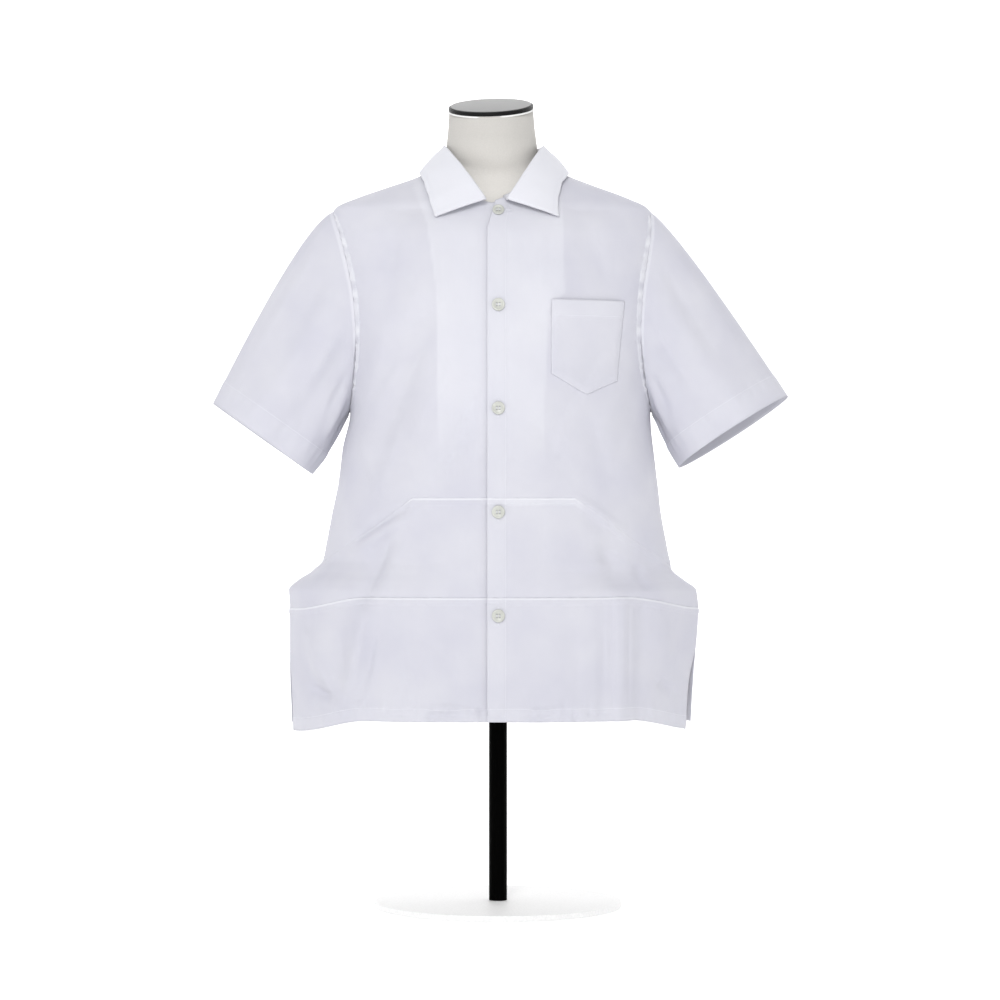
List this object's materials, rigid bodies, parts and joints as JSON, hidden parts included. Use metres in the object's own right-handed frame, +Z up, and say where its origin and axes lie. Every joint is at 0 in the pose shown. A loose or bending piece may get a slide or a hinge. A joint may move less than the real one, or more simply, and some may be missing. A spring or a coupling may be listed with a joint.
{
  "type": "poplin shirt on dress form",
  "caption": "Short-sleeved button-front poplin shirt with a flared lower tier, worn by a limbless dress form on a pole with a round base.",
  "frame": {"origin": "middle of the base plate's underside, on the floor", "axes": "+Z up along the pole, the front of the shirt faces -Y, +X towards the wearer's left sleeve"},
  "size_m": [0.7475, 0.32, 1.0543],
  "materials": {
    "poplin": "plain-weave cotton poplin, crisp, soft low sheen",
    "button": "four-hole shirt button, satin gloss",
    "form_cover": "tight woven cover, matte",
    "cap_rim": "black satin paint",
    "cap_top": "grey satin paint",
    "base_paint": "pale satin powder coat",
    "pole_paint": "black satin powder coat"
  },
  "bodies": {
    "root": {"front_right": "poplin", "front_left": "poplin", "mid_right": "poplin", "mid_left": "poplin", "band_right": "poplin", "band_left": "poplin", "back_body": "poplin", "back_mid": "poplin", "back_band": "poplin", "sleeve_right": "poplin", "sleeve_left": "poplin", "collar": "poplin", "chest_pocket": "poplin", "button_1": "button", "button_2": "button", "button_3": "button", "button_4": "button", "button_5": "button", "form_torso": "form_cover", "neck_cap_rim": "cap_rim", "neck_cap_top": "cap_top", "base_plate": "base_paint", "pole": "pole_paint"}
  },
  "joints": []
}
